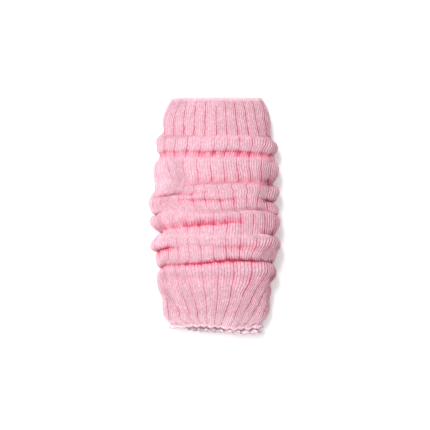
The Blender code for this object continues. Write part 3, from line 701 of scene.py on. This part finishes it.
def innerSockPoints(sock):
    # The same wall with even rows and no folds, but for small waves of its front under the rolls.
    place = ribColumns(sock)
    share = (place + tube["firstRib"]) / tube["ribs"]
    length = tube["pushedLength"] + roundTheTube(sock["hemDrop"], share) - sock["topDrop"]
    run = np.broadcast_to(np.linspace(0.0, 1.0, sock["rows"])[:, None], (sock["rows"], len(share)))
    down = sock["topDrop"] + run * length
    share = np.broadcast_to(share, down.shape)
    x, z, outX, outZ = aroundSection(sock["sections"], down, share)
    onFront = facing(outZ, sock["fade"])
    wave = sock["wave"] * np.sin(2 * math.pi * sock["waves"] * run) * np.sin(math.pi * run) * onFront
    relief = sock["relief"] * onFront
    off = wave - relief - tube["wall"] / 2
    middle = np.stack([x + outX * off, tube["topEdge"] - down, z + outZ * off], axis=2)
    belowHem = (run - 1) * length
    atHem = np.clip(belowHem / tube["hemZone"] + 1, 0, 1)
    middle[..., 1] -= atHem * hemScallops(place + sock["scallopShift"], sock["scallopSeed"])
    normals = gridNormals(middle)
    rib = ribProfile(place, sock["grooveWidth"])
    rise = relief * rib + sock["waleHeight"] * (waleProfile(place) - 1) * onFront
    outer = middle + normals * (tube["wall"] / 2 + rise)[..., None]
    inner = middle - normals * (tube["wall"] / 2)
    rim = smoothStep(belowHem, *sock["hemRim"])
    readings = {
        "groove": (1 - rib) * onFront * (1 - rim),
        # Painted shade in the gap under the outer sock's hem.
        "crease": (1 - rim) * smoothStep(run, *sock["hemShade"]),
        "rim": rim,
        "wales": onFront,
    }
    return outer, inner, place, readings


def ringFaces(index, inward):
    # Quads of a grid that closes round its columns, turned over for the inside.
    a, b = index[:-1], np.roll(index[:-1], -1, axis=1)
    d, c = index[1:], np.roll(index[1:], -1, axis=1)
    quads = np.stack([a, b, c, d] if inward else [a, d, c, b], axis=-1)
    return quads.reshape(-1, 4)


def rimFaces(outerRing, innerRing, keptColumns, flip):
    # Triangles that close the wall at an edge, where only some outer columns go inside.
    total = len(outerRing)
    stops = np.append(keptColumns[1:], keptColumns[0] + total)
    owner = np.empty(total, int)
    halves = []
    for column, (start, stop) in enumerate(zip(keptColumns, stops)):
        half = (start + stop) // 2
        owner[np.arange(start, half) % total] = column
        owner[np.arange(half, stop) % total] = (column + 1) % len(keptColumns)
        halves.append(half % total)
    here = np.arange(total)
    edge = np.stack([outerRing[here], outerRing[(here + 1) % total], innerRing[owner]], axis=1)
    count = len(keptColumns)
    nextInner = innerRing[(np.arange(count) + 1) % count]
    fill = np.stack([innerRing, outerRing[np.array(halves)], nextInner], axis=1)
    faces = np.concatenate([edge, fill])
    return faces[:, [0, 2, 1]] if flip else faces


def keptInside(sock):
    # Columns of the outer grid that the plain inside has too.
    kept = []
    start = 0
    for count in columnCounts(sock):
        inside = min(tube["insideColumns"], count)
        kept += [start + step * count // inside for step in range(inside)]
        start += count
    return np.array(kept)


def knitMap(mesh, outer, place, keptRows, keptColumns):
    # One unit a wale round the tube and one unit a course along the cloth, for every corner. A
    # face that crosses the first column counts on past the last wale.
    columns = outer.shape[1]
    steps = np.linalg.norm(np.diff(outer, axis=0), axis=2)
    along = np.concatenate([np.zeros((1, columns)), np.cumsum(steps, axis=0)])
    course = along / along[-1:] * round(along[-1].mean() / tube["courseStep"])
    wale = np.broadcast_to(place * tube["walesInRib"], course.shape)
    knit = np.stack([wale, course], axis=-1)
    pointKnit = np.concatenate([knit.reshape(-1, 2), knit[keptRows][:, keptColumns].reshape(-1, 2)])
    corner = np.empty(len(mesh.loops), int)
    mesh.loops.foreach_get("vertex_index", corner)
    cornerKnit = pointKnit[corner]
    faceStart = np.empty(len(mesh.polygons), int)
    faceSize = np.empty(len(mesh.polygons), int)
    mesh.polygons.foreach_get("loop_start", faceStart)
    mesh.polygons.foreach_get("loop_total", faceSize)
    face = np.repeat(np.arange(len(faceStart)), faceSize)
    highest = np.maximum.reduceat(cornerKnit[:, 0], faceStart)[face]
    allWales = tube["ribs"] * tube["walesInRib"]
    cornerKnit[highest - cornerKnit[:, 0] > allWales / 2, 0] += allWales
    mesh.uv_layers.new(name="knit").data.foreach_set("uv", cornerKnit.ravel())


def clothMesh(name, outer, inner, place, sock, readings):
    # One closed wall from its outer points and its inner points, with a coarser inside.
    rows, columns = outer.shape[:2]
    keptColumns = keptInside(sock)
    keptRows = np.unique(np.append(np.arange(0, rows, tube["insideRowStep"]), rows - 1))
    inside = inner[keptRows][:, keptColumns]
    outerIndex = np.arange(rows * columns).reshape(rows, columns)
    innerIndex = rows * columns + np.arange(inside.shape[0] * inside.shape[1]).reshape(inside.shape[:2])
    vertices = np.concatenate([outer.reshape(-1, 3), inside.reshape(-1, 3)]) * millimetre
    quads = np.concatenate([ringFaces(outerIndex, False), ringFaces(innerIndex, True)])
    rims = np.concatenate([rimFaces(outerIndex[0], innerIndex[0], keptColumns, False),
                           rimFaces(outerIndex[-1], innerIndex[-1], keptColumns, True)])
    mesh = bpy.data.meshes.new(name)
    mesh.from_pydata(vertices.tolist(), [], quads.tolist() + rims.tolist())
    mesh.update()
    mesh.shade_smooth()
    knitMap(mesh, outer, place, keptRows, keptColumns)
    for label, values in readings.items():
        attribute = mesh.attributes.new(label, "FLOAT", "POINT")
        flat = np.concatenate([values.ravel(), values[keptRows][:, keptColumns].ravel()])
        attribute.data.foreach_set("value", flat.astype(np.float32))
    piece = bpy.data.objects.new(name, mesh)
    scene.collection.objects.link(piece)
    print(name, rows, "rows,", columns, "columns,", len(quads) * 2 + len(rims), "triangles")
    return piece


# Colours are linear red, green and blue. The look of the knit, with painted shade for its folds,
# grooves, wales and stitches.
knitLookAndPaintedShade = {
    "base": (0.705, 0.405, 0.478),
    # Painted shade of the folds, and deeper painted shade at their bottoms.
    "shade": (0.79, 0.20, 0.29),
    "deep": (0.58, 0.045, 0.11),
    # Painted shade in the grooves between the ribs.
    "groove": (0.62, 0.13, 0.20),
    "rim": (0.93, 0.66, 0.73),
    "deepening": (1.1, -0.75), # how a crease's painted shade turns into the share of the deepest painted shade
    "openGrooveShade": 0.85,        # how much of the painted groove shade shows outside the folds
    "grooveChange": -0.7,      # how much that painted shade differs from stitch to stitch
    "surface": {
        "Roughness": 0.92,
        "Specular IOR Level": 0.2,
        "Sheen Weight": 0.07,
        "Sheen Roughness": 0.5,
        "Sheen Tint": (1.0, 0.80, 0.85, 1.0),
    },
    "stitchSlant": 1.3,        # how far a stitch's legs slant, in stitches
    "legShape": 0.6,           # below 1 makes a leg's rounded top broader
    "yarn": (0.65, 0.35),      # height of the yarn above the gap between two rows, and of the gap
    "stitchBump": 0.45,        # mm
    "stitchShade": 0.12,       # painted shade between the yarns of a stitch
    "stitchChance": 0.18,      # how much one stitch differs from the next
    "paleStitches": 0.16,      # share of stitches with a paler yarn
    "paler": 0.12,
    "waleShade": 0.25,         # painted shade between two wales
    "waleLight": 1.05,         # painted light on a wale's middle
    "waleEdge": 2.5,           # above 1 keeps that painted shade near the wale's edge
    "waleChance": 0.22,        # how much one wale differs from the next
    "streak": (1.7, 0.12),     # noise steps for each wale across, and for each stitch along
    "fuzzScale": 260.0,        # noise steps in a metre
    "fuzzDetail": 3.0,
    "fuzz": 0.14,
}


def knitMaterial(name, lookAndShade):
    # Knit stitches worked out from the sock's own UV map, one unit a wale and one unit a stitch
    # along it. Painted shade in the folds, in the grooves and between wales, and the pale edges,
    # come from the readings on the mesh.
    material = bpy.data.materials.new(name)
    material.use_nodes = True
    tree = material.node_tree
    nodes = tree.nodes
    surface = nodes["Principled BSDF"]

    def connect(socket, value):
        if isinstance(value, bpy.types.NodeSocket):
            tree.links.new(value, socket)
        else:
            socket.default_value = (*value, 1.0) if isinstance(value, tuple) else value

    def calculate(operation, *values):
        node = nodes.new("ShaderNodeMath")
        node.operation = operation
        for socket, value in zip(node.inputs, values):
            connect(socket, value)
        return node.outputs[0]

    def vary(value, amount):
        # Turns a value from 0 to 1 into one as far to both sides of 1 as half the amount.
        return calculate("MULTIPLY_ADD", value, amount, 1.0 - amount / 2)

    def mixColour(amount, first, second, blend="MIX"):
        node = nodes.new("ShaderNodeMix")
        node.data_type = "RGBA"
        node.blend_type = blend
        for socket, value in zip((node.inputs[0], node.inputs[6], node.inputs[7]), (amount, first, second)):
            connect(socket, value)
        return node.outputs[2]

    def reading(label):
        node = nodes.new("ShaderNodeAttribute")
        node.attribute_name = label
        return node.outputs["Fac"]

    def pair(x, y):
        node = nodes.new("ShaderNodeCombineXYZ")
        connect(node.inputs[0], x)
        connect(node.inputs[1], y)
        return node.outputs[0]

    def noise(vector, scale, detail, dimensions):
        node = nodes.new("ShaderNodeTexNoise")
        node.noise_dimensions = dimensions
        node.inputs["Scale"].default_value = scale
        node.inputs["Detail"].default_value = detail
        tree.links.new(vector, node.inputs["Vector"])
        return node.outputs["Fac"]

    uv = nodes.new("ShaderNodeUVMap")
    uv.uv_map = "knit"
    split = nodes.new("ShaderNodeSeparateXYZ")
    tree.links.new(uv.outputs[0], split.inputs[0])
    wale, course = split.outputs[0], split.outputs[1]

    # Each knit stitch is a V: two legs that meet at the middle of its wale.
    fromMiddle = calculate("ABSOLUTE", calculate("SUBTRACT", calculate("FRACT", wale), 0.5))
    leg = calculate("SINE", calculate("MULTIPLY", fromMiddle, 2 * math.pi))
    slanted = calculate("ADD", course, calculate("MULTIPLY", fromMiddle, lookAndShade["stitchSlant"]))
    yarn = calculate("ABSOLUTE", calculate("SINE", calculate("MULTIPLY", slanted, math.pi)))
    legHeight = calculate("POWER", leg, lookAndShade["legShape"])
    stitch = calculate("MULTIPLY", legHeight, calculate("MULTIPLY_ADD", yarn, *lookAndShade["yarn"]))

    # Shade differs from leg to leg, from wale to wale and more slowly across the cloth.
    chanceNode = nodes.new("ShaderNodeTexWhiteNoise")
    chanceNode.noise_dimensions = "2D"
    legCell = pair(calculate("FLOOR", calculate("MULTIPLY", wale, 2.0)), calculate("FLOOR", slanted))
    tree.links.new(legCell, chanceNode.inputs["Vector"])
    chance = chanceNode.outputs["Value"]
    across, along = lookAndShade["streak"]
    streakPlace = pair(calculate("MULTIPLY", wale, across), calculate("MULTIPLY", course, along))
    streak = noise(streakPlace, 1.0, 1.0, "2D")
    objectPlace = nodes.new("ShaderNodeTexCoord").outputs["Object"]
    fuzz = noise(objectPlace, lookAndShade["fuzzScale"], lookAndShade["fuzzDetail"], "3D")

    # Painted shade of the folds: a redder pink, deeper still at their bottoms.
    crease = reading("crease")
    # Painted shade in the grooves, stronger inside the folds.
    paintedGrooveShade = calculate("MULTIPLY", reading("groove"), calculate("ADD", crease, lookAndShade["openGrooveShade"]))
    paintedGrooveShade = calculate("MULTIPLY", paintedGrooveShade, vary(chance, lookAndShade["grooveChange"]))
    colour = mixColour(crease, lookAndShade["base"], lookAndShade["shade"])
    colour = mixColour(calculate("MULTIPLY_ADD", crease, *lookAndShade["deepening"]), colour, lookAndShade["deep"])
    colour = mixColour(paintedGrooveShade, colour, lookAndShade["groove"])
    colour = mixColour(reading("rim"), colour, lookAndShade["rim"])

    isPaler = calculate("GREATER_THAN", chance, 1.0 - lookAndShade["paleStitches"])
    light = calculate("MULTIPLY", isPaler, lookAndShade["paler"])
    light = calculate("ADD", vary(chance, lookAndShade["stitchChance"]), light)
    # Painted shade in the gaps between the yarns of a stitch.
    paintedStitchShade = calculate("MULTIPLY_ADD", stitch, lookAndShade["stitchShade"], 1.0 - lookAndShade["stitchShade"])
    # Painted shade between the wales, stronger at the right fold.
    waleEdge = calculate("POWER", calculate("MULTIPLY", fromMiddle, 2.0), lookAndShade["waleEdge"])
    between = calculate("MULTIPLY", waleEdge, reading("wales"))
    paintedWaleShade = calculate("MULTIPLY_ADD", between, -lookAndShade["waleShade"], lookAndShade["waleLight"])
    for part in (vary(fuzz, lookAndShade["fuzz"]), vary(streak, lookAndShade["waleChance"]), paintedStitchShade, paintedWaleShade):
        light = calculate("MULTIPLY", light, part)
    grey = nodes.new("ShaderNodeCombineColor")
    for socket in grey.inputs[:3]:
        tree.links.new(light, socket)
    tree.links.new(mixColour(1.0, colour, grey.outputs[0], "MULTIPLY"), surface.inputs["Base Color"])

    bump = nodes.new("ShaderNodeBump")
    bump.inputs["Strength"].default_value = 1.0
    bump.inputs["Distance"].default_value = lookAndShade["stitchBump"] * millimetre
    tree.links.new(stitch, bump.inputs["Height"])
    tree.links.new(bump.outputs[0], surface.inputs["Normal"])
    for label, value in lookAndShade["surface"].items():
        surface.inputs[label].default_value = value
    return material


def buildSock(name, sock, points, node):
    # Makes one sock around its solid.
    outer, inner, place, readings = points(sock)
    piece = clothMesh(name, outer, inner, place, sock, readings)
    piece.data.materials.append(knitMaterial(name + "Knit", knitLookAndPaintedShade))
    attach(piece, "root")
    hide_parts(node)


buildSock("outerSock", outerSock, outerSockPoints, "outer_sock")
buildSock("innerSock", innerSock, innerSockPoints, "inner_sock")


studio = {
    "photoPixels": 430,
    "photoCentre": (0.25, 1.55),   # the model point under the photo's middle
    "garmentHeight": 12.0,         # one pixel of the photo is a millimetre at this height
    "lens": 100.0,
    "sensor": 36.0,
    "floorColour": (0.93, 0.93, 0.93),
    "floorHalf": 3.0,              # metres
    "floorRoughness": 0.9,
    "roomLight": 0.92,
    # place in metres, size in metres, power in watts
    "lights": {
        "topLight": ((-0.5, 1.35, 1.5), 0.5, 22.5),
        "leftLight": ((-0.40, 0.0, 0.34), 0.25, 1.6),
    },
}


def makeCamera():
    # Looks straight down. Its distance is the photo's width times the lens over the sensor.
    data = bpy.data.cameras.new("photoCamera")
    data.lens = studio["lens"]
    data.sensor_width = studio["sensor"]
    camera = bpy.data.objects.new("photoCamera", data)
    distance = studio["photoPixels"] * data.lens / data.sensor_width
    place = np.array((*studio["photoCentre"], studio["garmentHeight"] + distance))
    camera.location = place * millimetre
    scene.collection.objects.link(camera)
    scene.camera = camera


def makeFloor():
    # A wide square at height 0, on which the pair lies.
    half = studio["floorHalf"]
    corners = [(-half, -half, 0), (half, -half, 0), (half, half, 0), (-half, half, 0)]
    mesh = bpy.data.meshes.new("floor")
    mesh.from_pydata(corners, [], [(0, 1, 2, 3)])
    floor = bpy.data.objects.new("floor", mesh)
    material = bpy.data.materials.new("paleFloor")
    material.use_nodes = True
    surface = material.node_tree.nodes["Principled BSDF"]
    surface.inputs["Base Color"].default_value = (*studio["floorColour"], 1.0)
    surface.inputs["Roughness"].default_value = studio["floorRoughness"]
    mesh.materials.append(material)
    scene.collection.objects.link(floor)


def makeLights():
    # An even white room, and square lamps that face the middle of the model.
    world = bpy.data.worlds.new("softRoom")
    world.use_nodes = True
    background = world.node_tree.nodes["Background"]
    background.inputs[0].default_value = (1, 1, 1, 1)
    background.inputs[1].default_value = studio["roomLight"]
    scene.world = world
    for name, (place, size, power) in studio["lights"].items():
        data = bpy.data.lights.new(name, "AREA")
        data.size = size
        data.energy = power
        light = bpy.data.objects.new(name, data)
        light.location = place
        light.rotation_mode = "QUATERNION"
        light.rotation_quaternion = Vector(place).to_track_quat("Z", "Y")
        scene.collection.objects.link(light)


makeCamera()
makeFloor()
makeLights()
scene.view_settings.view_transform = "Standard"
scene.view_settings.look = "None"
print("studio ready")
